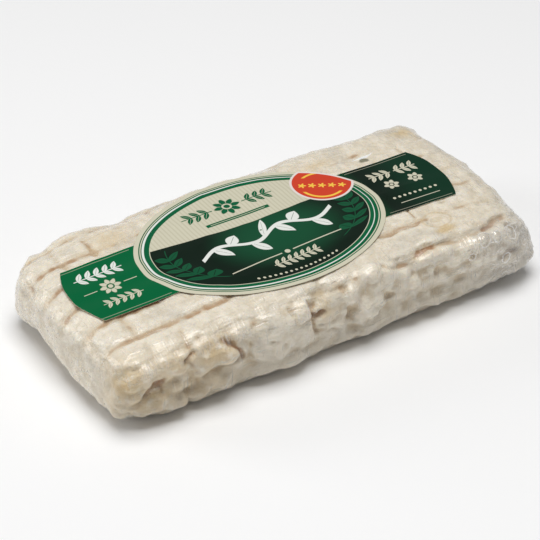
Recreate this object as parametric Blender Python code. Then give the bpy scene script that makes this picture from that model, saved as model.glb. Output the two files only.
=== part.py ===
"""Goat cheese brick in clinging film, with a die-cut paper label on its top face.

+X runs along the brick, +Y away from the side that is seen, +Z up from the face it rests on.
"""

import math

import bmesh
import bpy
from mathutils import Vector, noise

MM = 0.001

# Driving dimensions of the brick
LENGTH = 150 * MM
WIDTH = 70 * MM
HEIGHT = 28 * MM
PLAN_EDGE = 8.5 * MM        # how far the rounding reaches in from the sides and ends
TOP_EDGE = 7 * MM           # how far it reaches down from the top face
BOTTOM_EDGE = 7.5 * MM      # how far it reaches up from the bottom face
CROWN_ALONG = 2.1 * MM      # how much lower the top is at the two ends
CROWN_ACROSS = 0.9 * MM     # how much lower it is at the long edges

# Cells of the brick's surface along X, Y and Z
CELLS = (58, 26, 11)

# Marks of the draining mat, pressed into the top, the bottom and the upper part of the ends
FURROW_PITCH_LEFT = 10.9 * MM
FURROW_PITCH_RIGHT = 10.3 * MM
FURROW_SKEW = 2.8 * MM      # how far the furrows run sideways over the length of the brick
FURROW_DEPTH = 0.75 * MM
FURROW_POWER = 8            # the higher, the narrower the furrow
CROSS_PITCH = 11.5 * MM
CROSS_PHASE = 6 * MM
CROSS_DEPTH = 0.45 * MM
CROSS_POWER = 10
CROSS_LEAST = 0.25          # share of the cross marks' depth that is left at the right end
WANDER = 1.1 * MM           # how far a mark strays from its line
WANDER_ALONG = 26 * MM
WANDER_ACROSS = 20 * MM

# Soft unevenness all over the rind
LUMP_SIZE = 13 * MM
LUMP_HEIGHT = 0.55 * MM
CRAG_SIZE = 5.5 * MM
CRAG_HEIGHT = 0.45 * MM

# Flat spot that the brick rests on
REST_RADIUS = 9 * MM
REST_BLEND = 5 * MM

# Swells and hollows in millimetres: centre x, y, z, radii along x, y, z, height out of the surface
SWELLS = (
    (-72, 34, 22, 15, 13, 16, -2.4),    # rounded far left corner
    (-72, 31, 11, 7, 9, 7, 1.6),        # its belly
    (-54, 33, 25, 9, 7, 8, 1.6),        # high shoulder on the far left edge
    (-37, 34, 25, 4, 6, 8, -1.3),       # dip beside it
    (14, 34, 25, 9, 7, 8, -1.2),        # long dips in the far right edge
    (50, 35, 24, 12, 6, 8, -1.1),
    (74, 36, 18, 6, 6, 20, 1.6),        # crisp far right corner
    (74, 26, 23, 6, 7, 8, -1.7),        # hollow beside it
    (75, 16, 20, 5, 5, 10, -0.9),       # waist of the right end
    (75, -2, 24, 9, 34, 9, -1.3),       # softer upper edge of the right end
    (73, -28, 22, 8, 11, 8, -2.8),      # near right corner: low shoulder
    (74, -32, 12, 8, 8, 6, 1.0),        # its belly
    (71, -35, 2, 12, 9, 6, -2.2),       # and its undercut
    (-73, -32, 2, 11, 9, 9, -1.8),      # undercut below the near left corner
    (-76, 0, 14, 8, 34, 11, 1.7),       # belly of the left end
    (-75, 16, 3, 8, 14, 6, -1.9),       # undercut below it
    (-59, -34, 5, 4, 6, 5, 1.2),        # feet of the near long side
    (-40, -34, 4, 5, 6, 5, 0.7),
    (-17, -34, 4, 11, 6, 5, 1.0),
    (12, -34, 4, 16, 6, 5, 0.6),
)

# Folds of the near long side in millimetres: x, z, radius along x, radius along z, height
FOLDS = (
    (-68, 20, 5, 4, 0.9),
    (-62, 14, 2.4, 4.5, -1.7),
    (-57, 17, 4.5, 5, 0.9),
    (-51, 14, 1.8, 6, -1.4),
    (-43, 19, 6, 3.5, 1.3),
    (-44, 12, 6, 2, -0.8),
    (-35.5, 15, 2, 4.5, -1.1),
    (-21, 14, 8.5, 8, 1.3),
    (-9, 15, 1.9, 6.5, -2.0),
    (-7, 22, 3.2, 2.6, -1.5),
    (-3, 13, 5, 3.2, 1.1),
    (4, 14, 1.8, 4, -1.2),
    (3, 23, 3, 3, 0.8),
    (10, 25, 5, 2.6, 1.3),
    (17, 22, 3, 3.5, 0.9),
    (11, 17, 5, 3.6, 0.8),
    (17.5, 15, 2.4, 3, -1.3),
    (24, 21, 3.4, 2.6, -0.9),
    (31, 20, 4, 2.8, 0.8),
    (41, 18, 5, 2.4, -0.9),
    (50, 20, 5.5, 4, 0.9),
    (36, 11, 12, 1.8, -0.6),
    (61, 14, 6, 5, 0.8),
)

# Label: an oval with a tab at each end, in its own axes along and across the brick
LABEL_CENTRE = Vector((-6.0, -0.9)) * MM
LABEL_TURN = math.radians(-0.85)
OVAL_LONG = 40.9 * MM
OVAL_SHORT = 29.4 * MM
TAB_HALF = 13.9 * MM
TAB_LEFT = -61 * MM
TAB_RIGHT = 62.6 * MM
TAB_BULGE = 3.6 * MM
LABEL_LIFT = 0.65 * MM      # underside of the paper above the smooth top of the brick
PAPER = 0.3 * MM
LABEL_COLUMNS = (6, 26, 6)  # left tab, oval, right tab
LABEL_ROWS = 12


def bell(distance):
    """A smooth bump that is 1 at distance 0 and fades past 1."""
    return math.exp(-distance * distance)


def smooth_step(value):
    """0 below 0, 1 above 1, with a soft change between."""
    t = min(max(value, 0.0), 1.0)
    return t * t * (3 - 2 * t)


def crown(x, y):
    """How far the top face sinks towards the ends and the long edges."""
    return CROWN_ALONG * (2 * x / LENGTH) ** 2 + CROWN_ACROSS * (2 * y / WIDTH) ** 2


def rounded(point):
    """Pull a point of the plain box on to the rounded edges; give it with its normal."""
    edge = TOP_EDGE if point.z > HEIGHT / 2 else BOTTOM_EDGE
    radii = (PLAN_EDGE, PLAN_EDGE, edge)
    core = Vector((
        min(max(point.x, PLAN_EDGE - LENGTH / 2), LENGTH / 2 - PLAN_EDGE),
        min(max(point.y, PLAN_EDGE - WIDTH / 2), WIDTH / 2 - PLAN_EDGE),
        min(max(point.z, BOTTOM_EDGE), HEIGHT - TOP_EDGE),
    ))
    reach = Vector([(point[k] - core[k]) / radii[k] for k in range(3)]).normalized()
    normal = Vector([reach[k] / radii[k] for k in range(3)]).normalized()
    place = core + Vector([reach[k] * radii[k] for k in range(3)])
    place.z *= 1 - crown(place.x, place.y) / HEIGHT
    return place, normal


def furrows(place, normal):
    """Parallel furrows along the brick with fainter cross marks, on the faces the mats touched."""
    along = place.x / LENGTH + 0.5
    pitch = FURROW_PITCH_LEFT + (FURROW_PITCH_RIGHT - FURROW_PITCH_LEFT) * along
    drift = WANDER * noise.noise(Vector((place.x / WANDER_ALONG, place.y / WANDER_ACROSS, 3.1)))
    wave = math.cos(math.pi * (place.y + FURROW_SKEW * (1 - along) + drift) / pitch) ** FURROW_POWER
    cross = math.cos(math.pi * (place.x - CROSS_PHASE - drift) / CROSS_PITCH) ** CROSS_POWER
    cross *= CROSS_LEAST + (1 - CROSS_LEAST) * smooth_step(0.8 - along)
    flat = smooth_step(2.2 * abs(normal.z) - 0.6)
    left_end = 0.7 * smooth_step(-normal.x) * smooth_step(place.z / HEIGHT)
    return -min(flat + left_end, 1.0) * (FURROW_DEPTH * wave + CROSS_DEPTH * cross * (1 - wave))


def unevenness(place):
    """Lumps and small crags, each a band of smooth noise."""
    lump = noise.noise(place / LUMP_SIZE + Vector((7.3, 1.9, 4.4)))
    crag = noise.noise(place / CRAG_SIZE + Vector((2.7, 8.1, 5.6)))
    return LUMP_HEIGHT * lump + CRAG_HEIGHT * crag


def swells(place):
    """Sum of the named swells and hollows."""
    total = 0.0
    for x, y, z, along, across, up, height in SWELLS:
        offset = place / MM - Vector((x, y, z))
        total += height * bell(Vector((offset.x / along, offset.y / across, offset.z / up)).length)
    return total * MM


def folds(place, normal):
    """Sum of the folds and creases on the near long side."""
    facing = smooth_step(-1.6 * normal.y)
    total = 0.0
    for x, z, along, up, height in FOLDS:
        total += height * bell(math.hypot((place.x / MM - x) / along, (place.z / MM - z) / up))
    return facing * total * MM


def brick_surface(point):
    """The finished place of a point of the plain box."""
    place, normal = rounded(point)
    on_top = smooth_step(2 * normal.z - 0.8)
    roughness = unevenness(place) * (1 - 0.6 * on_top)
    relief = roughness + furrows(place, normal) + folds(place, normal) + swells(place)
    resting = smooth_step((math.hypot(place.x, place.y) - REST_RADIUS) / REST_BLEND)
    if normal.z < 0:
        relief *= resting
    place += normal * relief
    place.z = max(place.z, 0.0)
    return place


def edges_along(bm, axis):
    """Edges of the plain box that run along one axis."""
    chosen = []
    for edge in bm.edges:
        span = edge.verts[0].co - edge.verts[1].co
        if abs(span[axis]) > 0.5 * span.length:
            chosen.append(edge)
    return chosen


def build_brick():
    """A box cut into cells and shaped into the wrapped cheese."""
    bm = bmesh.new()
    bmesh.ops.create_cube(bm, size=1.0)
    for axis in range(3):
        bmesh.ops.subdivide_edges(bm, edges=edges_along(bm, axis), cuts=CELLS[axis] - 1, use_grid_fill=True)
    for vert in bm.verts:
        plain = Vector((vert.co.x * LENGTH, vert.co.y * WIDTH, (vert.co.z + 0.5) * HEIGHT))
        vert.co = brick_surface(plain)
    bmesh.ops.recalc_face_normals(bm, faces=bm.faces)
    return bm


def top_height(x, y):
    """Height of the brick's smooth top over a point."""
    past_y = max(abs(y) - (WIDTH / 2 - PLAN_EDGE), 0.0) / PLAN_EDGE
    past_x = max(abs(x) - (LENGTH / 2 - PLAN_EDGE), 0.0) / PLAN_EDGE
    drop = TOP_EDGE * (1 - math.sqrt(1 - past_x ** 2 - past_y ** 2))
    return (HEIGHT - drop) * (1 - crown(x, y) / HEIGHT)


def label_point(column, row):
    """Where a column and a row, each from -1 to 1, lie on the label's die-cut shape."""
    joint = OVAL_LONG * math.sqrt(1 - (TAB_HALF / OVAL_SHORT) ** 2)
    stops = (TAB_LEFT, -joint, joint, TAB_RIGHT)
    count = (column + 1) / 2 * sum(LABEL_COLUMNS)
    band = 0
    while band < 2 and count > LABEL_COLUMNS[band]:
        count -= LABEL_COLUMNS[band]
        band += 1
    u = stops[band] + (stops[band + 1] - stops[band]) * count / LABEL_COLUMNS[band]
    half = max(TAB_HALF, OVAL_SHORT * math.sqrt(max(1 - (u / OVAL_LONG) ** 2, 0.0)))
    end_u = TAB_RIGHT if u > 0 else TAB_LEFT
    towards_end = smooth_step((abs(u) - joint) / (abs(end_u) - joint))
    u += math.copysign(TAB_BULGE * (1 - row * row) * towards_end, u)
    v = row * half
    x = LABEL_CENTRE.x + u * math.cos(LABEL_TURN) - v * math.sin(LABEL_TURN)
    y = LABEL_CENTRE.y + u * math.sin(LABEL_TURN) + v * math.cos(LABEL_TURN)
    return Vector((x, y, top_height(x, y) + LABEL_LIFT))


def build_label():
    """A grid laid out to the label's shape over the brick's top, and given the paper's thickness."""
    bm = bmesh.new()
    bmesh.ops.create_grid(bm, x_segments=sum(LABEL_COLUMNS), y_segments=LABEL_ROWS, size=1.0)
    for vert in bm.verts:
        vert.co = label_point(vert.co.x, vert.co.y)
    bmesh.ops.triangulate(bm, faces=bm.faces)
    upper = bmesh.ops.extrude_face_region(bm, geom=bm.faces[:])
    raised = [item for item in upper["geom"] if isinstance(item, bmesh.types.BMVert)]
    bmesh.ops.translate(bm, verts=raised, vec=(0, 0, PAPER))
    bmesh.ops.recalc_face_normals(bm, faces=bm.faces)
    return bm


def plain_material(name, color, roughness):
    """A Principled material with one colour."""
    material = bpy.data.materials.new(name)
    material.use_nodes = True
    shader = material.node_tree.nodes["Principled BSDF"]
    shader.inputs["Base Color"].default_value = (*color, 1)
    shader.inputs["Roughness"].default_value = roughness
    shader.inputs["Metallic"].default_value = 0
    return material


def add_object(name, bm, material):
    """Put a finished mesh into the scene under its node's name."""
    mesh = bpy.data.meshes.new(name)
    bm.to_mesh(mesh)
    bm.free()
    mesh.materials.append(material)
    mesh.shade_smooth()
    mesh.set_sharp_from_angle(angle=math.radians(60))
    item = bpy.data.objects.new(name, mesh)
    bpy.context.scene.collection.objects.link(item)
    return item


def centre_on_base(items):
    """Move the meshes so that the origin is the middle of the whole shape's base."""
    corners = [vert.co for item in items for vert in item.data.vertices]
    low = Vector([min(corner[k] for corner in corners) for k in range(3)])
    high = Vector([max(corner[k] for corner in corners) for k in range(3)])
    shift = Vector((-(low.x + high.x) / 2, -(low.y + high.y) / 2, -low.z))
    for item in items:
        for vert in item.data.vertices:
            vert.co += shift


def build_part():
    """Clear the scene and build the cheese and its label."""
    for item in list(bpy.data.objects):
        bpy.data.objects.remove(item, do_unlink=True)
    rind = plain_material("rind_in_film", (0.74, 0.66, 0.53), 0.4)
    paper = plain_material("label_paper", (0.02, 0.16, 0.07), 0.45)
    cheese = add_object("cheese", build_brick(), rind)
    label = add_object("label", build_label(), paper)
    centre_on_base([cheese, label])


build_part()
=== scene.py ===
import math

import bmesh
import bpy
import numpy as np
from mathutils import Matrix, Vector, noise
from mathutils.bvhtree import BVHTree


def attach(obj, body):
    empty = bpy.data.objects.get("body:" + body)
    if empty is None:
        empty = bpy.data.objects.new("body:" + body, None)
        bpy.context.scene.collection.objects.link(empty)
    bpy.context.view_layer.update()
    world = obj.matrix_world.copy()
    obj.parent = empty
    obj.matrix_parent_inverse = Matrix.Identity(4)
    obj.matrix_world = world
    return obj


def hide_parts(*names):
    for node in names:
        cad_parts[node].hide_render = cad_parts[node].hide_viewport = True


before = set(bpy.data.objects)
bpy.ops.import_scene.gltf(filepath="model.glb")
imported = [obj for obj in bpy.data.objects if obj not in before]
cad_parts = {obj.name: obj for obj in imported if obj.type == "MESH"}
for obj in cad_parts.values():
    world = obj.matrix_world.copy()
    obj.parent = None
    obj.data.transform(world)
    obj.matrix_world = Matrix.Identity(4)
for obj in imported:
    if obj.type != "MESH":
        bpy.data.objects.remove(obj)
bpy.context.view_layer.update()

# The camera looks down on the brick from beyond its near left corner, through a long lens.
# Its place was fitted to the outlines of the brick and of its label.
MM = 0.001
AZIMUTH = math.radians(-33.02)
ELEVATION = math.radians(34.81)
DISTANCE = 783 * MM
LOOKS_AT = Vector((0, 0, 13 * MM))
FRAME_SIDE = 540

lens = bpy.data.cameras.new("studio_camera")
lens.sensor_width = 36
lens.lens = 170.78
lens.shift_x = -4.69 / FRAME_SIDE
lens.shift_y = -4.98 / FRAME_SIDE
lens.clip_start = 0.05
camera = bpy.data.objects.new("studio_camera", lens)
bpy.context.scene.collection.objects.link(camera)
backwards = Vector((
    math.sin(AZIMUTH) * math.cos(ELEVATION),
    -math.cos(AZIMUTH) * math.cos(ELEVATION),
    math.sin(ELEVATION),
))
rightwards = Vector((math.cos(AZIMUTH), math.sin(AZIMUTH), 0))
upwards = backwards.cross(rightwards)
turn = Matrix((rightwards, upwards, backwards)).transposed().to_4x4()
camera.matrix_world = Matrix.Translation(LOOKS_AT + backwards * DISTANCE) @ turn
bpy.context.scene.camera = camera

# The cheese: a brick of soft goat cheese under a white bloom. Draining mats pressed furrows into its
# flat faces, and its long side folded as it settled and browned in the creases. Where the packed
# solid has the broad furrows and folds, their narrow cores and the fine relief are cut here.
RIND_LEVELS = 2
LUMP_ROUNDS = 2      # rounds of smoothing that soften the lumps, and the creases between them
CUT_ROUNDS = 2
NEAR_ROUNDS = 14     # rounds after which the smoothed rind shows narrow hollows, and more for wide ones
WIDE_ROUNDS = 60
NOISE_SEED = 4       # keeps noise vectors alike from run to run
OFF_CENTRE = Vector((0.62, 0.28, 0))    # mm, of the middle of the uneven shape from the mats' grid
LENGTH = 150
FURROW_PITCH_LEFT = 10.9
FURROW_PITCH_RIGHT = 10.3
FURROW_SKEW = 2.8
FURROW_HALF = 1.2
FURROW_DEEP = 0.62
FURROW_BED = 1.7     # mm, half the width that has browned
FURROW_LIP = 2.1
CROSS_PITCH = 11.5
CROSS_PHASE = 6
CROSS_HALF = 1.0
CROSS_DEEP = 0.55
CROSS_BED = 1.5
WANDER = 1.1
WANDER_ALONG = 26
WANDER_ACROSS = 20
RAGGED_SIZE = 2.6    # mm, of the strays of the marks' edges
BROKEN_SIZE = 3.1    # mm, of the stretches where a mark is deep or shallow
LARGE_LUMP = 6       # mm, from one lump or crest to the next
MIDDLE_LUMP = 2.8
SMALL_LUMP = 1.6
LARGE_CREST = 7
MIDDLE_CREST = 4.2
SMALL_CREST = 2.0
CALM_MIDDLE = -21    # mm along the near side, where it bulges smooth
CALM_HALF = 10
PITS_FROM = 46       # mm along the brick, where small pits begin
PIT_SIZE = 2.6
PIT_DEEP = 0.9
STRAY = 0.8          # mm, of the creases from their paths
STRAY_SIZE = 3.4

# Creases of the near long side, as paths with a width, a depth and how brown they are. They are laid
# out on an upright plane at the foot of that side, slanted so that the plane's points slide up it.
SIDE_PLANE = -35.1
SLANT_ALONG = -0.65
SLANT_UP = 0.829
SIDE_CREASES = (
    (((-66.5, 13.3), (-64, 15.3), (-62.5, 15.6), (-60.6, 17.6)), 0.8, 0.7, 1.0),
    (((-63.6, 16.4), (-62.6, 14.6)), 0.8, 0.3, 0.9),
    (((-62.2, 14.8), (-61.5, 12.2)), 0.6, 0.5, 0.5),
    (((-71.5, 12.2), (-68.5, 11.8), (-66.5, 13)), 0.5, 0.5, 0.35),
    (((-64.5, 9.3), (-62.5, 10.8), (-62.3, 12)), 0.6, 0.3, 0.2),
    (((-53.2, 20.3), (-51, 22.3)), 0.8, 0.8, 0.8),
    (((-53, 20.5), (-51.3, 18.8), (-50.4, 16.6), (-49.4, 15.5)), 0.45, 0.7, 0.45),
    (((-57, 14.2), (-54.5, 13.2), (-52.5, 13)), 0.7, 0.4, 0.15),
    (((-51.8, 16.2), (-52.3, 14), (-52, 12)), 0.5, 0.4, 0.15),
    (((-47.3, 12.2), (-46, 13.6), (-43.5, 13.2), (-41, 14.2), (-38, 14), (-35.2, 14.5)), 0.6, 0.8, 0.5),
    (((-37.2, 18.7), (-35.5, 17.2), (-34.4, 15.5), (-34.1, 13.8)), 0.55, 1.0, 0.9),
    (((-40, 22.3), (-38.5, 20.8), (-37.8, 19.6)), 1.0, 0.9, 0.8),
    (((-31.2, 18.5), (-31.5, 16), (-31.2, 13.5)), 0.5, 0.5, 0.35),
    (((-25.4, 17), (-23.5, 16.5)), 0.7, 0.4, 0.2),
    (((-20.4, 13.8), (-20, 13)), 1.0, 0.5, 0.3),
    (((-19, 25), (-17.5, 22), (-16.2, 18.3)), 0.6, 0.5, 0.1),
    (((-12.6, 24.8), (-11.2, 22.6), (-10, 20.2), (-9.7, 17), (-9.2, 14.2), (-7.9, 13)), 0.55, 1.1, 0.7),
    (((-11.6, 23.6), (-9.8, 22.7)), 1.0, 0.9, 0.8),
    (((-9.6, 18.8), (-6.3, 19.3)), 0.9, 1.0, 0.95),
    (((-7.2, 14.6), (-4, 14.4), (-1, 13.6), (1.2, 12.6)), 0.45, 0.5, 0.3),
    (((-8, 13.3), (-5, 12.3), (-2, 11.2), (1, 10.3)), 0.45, 0.5, 0.3),
    (((0, 25), (0.9, 23.2), (2.6, 24.3)), 0.7, 0.7, 0.6),
    (((2.9, 17), (2.9, 14.5), (4.8, 12.8)), 0.55, 0.7, 0.5),
    (((8.8, 23.8), (10, 22.6), (12, 22.3)), 0.9, 0.6, 0.5),
    (((14.7, 22.8), (14.8, 21.8)), 0.9, 0.4, 0.4),
    (((14.5, 27.6), (17, 25.6), (19, 24.2)), 0.6, 0.6, 0.5),
    (((20.4, 24.8), (24.2, 24.8)), 0.7, 0.15, 0.75),
    (((16.6, 16.2), (18, 15), (19, 15.2)), 0.9, 0.6, 0.5),
    (((26.2, 20.8), (27, 19.6)), 0.6, 0.5, 0.5),
    (((28.2, 19.8), (29.4, 17.4), (30.2, 16.2), (32.8, 16.1)), 0.6, 0.35, 0.55),
    (((35.4, 20.6), (35.9, 16.6)), 0.8, 0.4, 0.3),
    (((38.4, 18.4), (39, 17.8)), 0.8, 0.4, 0.3),
    (((33.6, 10.7), (36.5, 11.4), (42, 12.1)), 0.4, 0.4, 0.25),
    (((34.2, 11.2), (38.5, 11.4), (44.6, 11)), 0.35, 0.3, 0.2),
    (((31.5, 9), (34.5, 9.6), (37.6, 9.7)), 1.0, 0.4, 0.4),
    (((48, 20.4), (50, 18.4)), 0.8, 0.5, 0.4),
    (((53.2, 18.4), (52.6, 15.5), (53, 12.8)), 0.6, 0.5, 0.45),
    (((55.2, 20.1), (57.8, 20.1)), 0.6, 0.6, 0.35),
    (((60.2, 13.8), (62, 14.4), (65.5, 14.4)), 1.1, 0.8, 0.8),
    (((62, 24.6), (64, 23.2), (66.2, 21.4)), 0.9, 0.6, 0.35),
    (((63, 20.8), (63.2, 20)), 0.8, 0.5, 0.3),
    (((63, 10.4), (64.2, 9.8)), 0.9, 0.6, 0.5),
    (((57.6, 9.2), (58.4, 9.5)), 0.6, 0.4, 0.25),
    (((68.2, 15.4), (68.3, 14.4)), 0.7, 0.6, 0.3),
    (((68, 11.6), (68, 10.8)), 0.7, 0.5, 0.3),
    (((66, 12.4), (66.5, 11.6)), 0.7, 0.4, 0.3),
)

# Rounded pads of the same side, laid out in the same way: centre, radii, height.
PAD_BLEND = 5        # the higher, the sharper the seams between pads that meet
SIDE_PADS = (
    (-75.5, 17.5, 4.8, 4.8, 1.8),
    (-71, 19.5, 3.8, 4.1, 2),
    (-66, 21.5, 4.3, 3, 1.8),
    (-60.5, 22.5, 5, 3, 1.8),
    (-54.5, 22, 4.1, 2.9, 1.5),
    (-57.5, 18.3, 5.5, 2.6, 2),
    (-70.5, 14.8, 5.2, 2.8, 1.5),
    (-74.5, 11.5, 4.8, 3.6, 1.4),
    (-67.5, 9.8, 5.2, 2.9, 1.4),
    (-61.5, 10, 3.4, 2.9, 1.8),
    (-56.5, 11.8, 5.5, 3, 1.4),
    (-57.5, 7.2, 7.1, 2.9, 1),
    (-50.5, 18.8, 2.4, 3, 1.3),
    (-46, 18, 4.6, 4.1, 2),
    (-42.5, 19.5, 3, 2.6, 2.2),
    (-47, 23.2, 5.2, 2.6, 1.5),
    (-38.8, 17, 4.6, 3.4, 2.2),
    (-42.5, 10.6, 6.7, 3.6, 1.3),
    (-36.3, 12.6, 2.6, 2.3, 1.3),
    (-34.5, 23.5, 5.4, 3, 1.5),
    (-22.5, 17.5, 10.3, 10.8, 2.7),
    (-14.2, 21.8, 4.1, 5, 2.4),
    (-13.6, 13.6, 5.8, 5.2, 2),
    (-26, 6.8, 7.1, 3, 1),
    (-16.5, 6, 5, 2.9, 1.4),
    (-5.2, 22, 4.6, 3, 1.3),
    (-5, 17.2, 5.2, 2.9, 1.4),
    (-2.2, 20.4, 3, 1.9, 1.4),
    (-4.8, 13.9, 3.4, 1.1, 1),
    (-0.3, 12.3, 3.4, 1.1, 1),
    (4.6, 22, 4.1, 3.6, 2),
    (10.5, 26, 6.2, 3.8, 2),
    (9.5, 15, 7.1, 6, 2),
    (16.3, 24, 3.6, 4.1, 1.8),
    (22.5, 22.4, 4.1, 2.6, 1.8),
    (22, 18, 3.8, 2.9, 1),
    (31.5, 23.8, 4.1, 3, 1.5),
    (27, 17.6, 2.9, 2.6, 1),
    (37.5, 23.5, 4.8, 3, 1.4),
    (41, 19.5, 3.8, 3.4, 1.3),
    (45.5, 20.5, 3, 3.8, 1.4),
    (34, 14.4, 6, 2.6, 1),
    (51, 22.5, 4.1, 3.8, 1.4),
    (57.5, 22, 4.3, 3.6, 1.4),
    (62.5, 19, 4.1, 3, 1.4),
    (50, 15.5, 4.3, 3, 1),
    (57, 16, 4.1, 2.9, 1),
    (63, 12, 3.8, 2.9, 1.3),
    (44, 15, 3.6, 2.9, 1),
)

# Creases of the top face, as paths along and across the brick.
TOP_CREASES = (
    (((39.2, -12.8), (38.9, -16), (38.8, -19)), 0.5, 0.6, 0.8),
    (((55, -32.2), (57, -31.3), (60, -30), (64, -29.6)), 0.8, 0.65, 0.9),
    (((36, -31.5), (42, -32.4), (49, -32.8), (55, -32.2)), 0.8, 0.45, 0.5),
    (((50, -16), (52, -15.6)), 0.8, 0.4, 0.4),
    (((31, -32), (33.5, -31.5), (36, -31.5)), 0.8, 0.4, 0.9),
    (((-2, -33.6), (0, -34.1), (2, -33.8), (4, -33)), 0.8, 0.6, 0.6),
    (((-33, -35), (-27, -34.8), (-20, -34.2), (-12, -34.3)), 0.5, 0.5, 0.4),
    (((-47.6, -32.6), (-46.5, -34), (-44.8, -34.6)), 0.9, 0.6, 0.8),
    (((-52, 26.5), (-51.8, 22), (-52.1, 17.4)), 0.7, 0.5, 0.7),
    (((-62.9, 22.5), (-62.8, 16.6), (-61.3, 17.8)), 0.7, 0.4, 0.5),
    (((57, 17), (57.6, 14)), 0.7, 0.4, 0.5),
    (((48.7, 15.6), (48.6, 13)), 0.6, 0.3, 0.4),
    (((-66, -24.6), (-60, -24.2), (-55, -23.6), (-50.5, -23.1), (-45, -23.8), (-41, -23)), 0.9, 0.2, 0.5),
    (((-39, -22.8), (-36, -23.8), (-32, -23.6), (-30, -23.2)), 1.1, 0.5, 0.8),
    (((23.5, -21.8), (27, -22.3), (30, -21.3), (37, -21.8)), 1.0, 0.4, 0.7),
    (((60, -9.2), (63, -9.9), (66, -9.4)), 1.0, 0.4, 0.7),
)

# Patches where the bloom has yellowed: centre, radii, strength.
YELLOW_PATCHES = (
    ((-72, -33, 18), (8, 6, 6), 1.0),
    ((-65, -35, 11), (12, 5, 8), 0.85),
    ((-75, -32, 10), (4, 6, 9), 0.8),
    ((-56, -34, 19), (10, 4, 5), 0.7),
    ((-44, -35, 19), (7, 4, 5), 0.85),
    ((-48, -35, 9), (12, 4, 6), 0.6),
    ((-4, -34, 19), (3, 4, 4), 0.6),
    ((65, 25, 26), (5, 3, 3), 0.8),
    ((-45, 22, 27), (7, 5, 3), 0.5),
    ((30, 22, 27), (6, 1.8, 3), 0.6),
)


def bell(distance):
    """A smooth bump that is 1 at distance 0 and fades past 1."""
    return math.exp(-distance * distance)


def smooth_step(value):
    """0 below 0, 1 above 1, with a soft change between."""
    t = min(max(value, 0.0), 1.0)
    return t * t * (3 - 2 * t)


def off_path(u, w, path):
    """Distance of a point from a path of straight runs."""
    nearest = 1e9
    for start, end in zip(path, path[1:]):
        run = (end[0] - start[0], end[1] - start[1])
        square = run[0] ** 2 + run[1] ** 2
        share = ((u - start[0]) * run[0] + (w - start[1]) * run[1]) / square
        share = min(max(share, 0.0), 1.0)
        nearest = min(nearest, math.hypot(u - start[0] - share * run[0], w - start[1] - share * run[1]))
    return nearest


def with_reach(creases):
    """The creases, each with the box outside which it isn't felt."""
    kept = []
    for path, width, depth, brown in creases:
        reach = 4 * width
        us = [point[0] for point in path]
        ws = [point[1] for point in path]
        box = (min(us) - reach, max(us) + reach, min(ws) - reach, max(ws) + reach)
        kept.append((box, path, width, depth, brown))
    return kept


def crease_at(u, w, creases):
    """Depth and brownness that the creases give at a point."""
    deep = 0.0
    browned = 0.0
    for (low_u, high_u, low_w, high_w), path, width, depth, brown in creases:
        if low_u < u < high_u and low_w < w < high_w:
            away = off_path(u, w, path) / width
            deep += depth * (1.5 * bell(1.2 * away) - 0.4 * bell((away - 2) / 0.9))
            browned = max(browned, brown * bell(0.6 * away))
    return deep, browned


def mat_marks(x, y, z, normal):
    """Depth of the narrow cores of the furrows and cross marks, and how brown their beds are."""
    along = x / LENGTH + 0.5
    pitch = FURROW_PITCH_LEFT + (FURROW_PITCH_RIGHT - FURROW_PITCH_LEFT) * along
    drift = WANDER * noise.noise(Vector((x / WANDER_ALONG, y / WANDER_ACROSS, 3.1)))
    row = (y + FURROW_SKEW * (1 - along) + drift) / pitch
    cross = (x - CROSS_PHASE - drift) / CROSS_PITCH
    ragged = noise.noise(Vector((x / RAGGED_SIZE, y / RAGGED_SIZE, z / RAGGED_SIZE)))
    ragged_cross = noise.noise(Vector((y / RAGGED_SIZE, x / RAGGED_SIZE, z / RAGGED_SIZE)))
    from_row = abs(row - round(row)) * pitch + 0.5 * ragged
    from_cross = abs(cross - round(cross)) * CROSS_PITCH + 0.5 * ragged_cross
    left_part = smooth_step((-x - 40) / 15)
    row_share = smooth_step(0.75 + 0.4 * left_part + 1.3 * noise.noise(Vector((x / 9, y / 5, 1.7))))
    cross_share = smooth_step(0.55 + 1.5 * noise.noise(Vector((x / 8, y / 8, 5.2)))) * (1 - 0.7 * along)
    flat = smooth_step(2.2 * abs(normal.z) - 0.6)
    left_end = 0.7 * smooth_step(-normal.x) * smooth_step((z - 14) / 8)
    face = min(flat + left_end, 1.0)
    faded = smooth_step(1.5 * along - 0.45)
    broken = noise.noise(Vector((x / BROKEN_SIZE, y / BROKEN_SIZE, 8.8)))
    broken = 0.75 + 0.15 * left_part + (0.9 - 0.5 * left_part) * broken
    row_deep = (FURROW_DEEP + 0.1 * left_part) * (1 - 0.6 * faded)
    row_deep *= broken * row_share * bell(from_row / FURROW_HALF)
    row_deep -= 0.3 * faded * bell(from_row / FURROW_LIP)
    deep = face * (row_deep + CROSS_DEEP * cross_share * bell(from_cross / CROSS_HALF))
    row_brown = broken * row_share * bell(from_row / FURROW_BED)
    cross_brown = 0.9 * cross_share * bell(from_cross / CROSS_BED)
    return deep, face * max(row_brown, cross_brown) * (0.88 - 0.15 * faded)


def pads_at(u, w):
    """How far the pads of the near side stand out at a point."""
    stands = 0.0
    for middle_u, middle_w, half_u, half_w, height in SIDE_PADS:
        inside = 1 - ((u - middle_u) / half_u) ** 2 - ((w - middle_w) / half_w) ** 2
        if inside > 0:
            stands += (height * inside) ** PAD_BLEND
    return stands ** (1 / PAD_BLEND)


def crumple(at, size):
    """Sharp crests with soft hollows between them, from -1 to 1, of about one size."""
    return 1 - 4 * abs(noise.noise(at / size))


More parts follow.
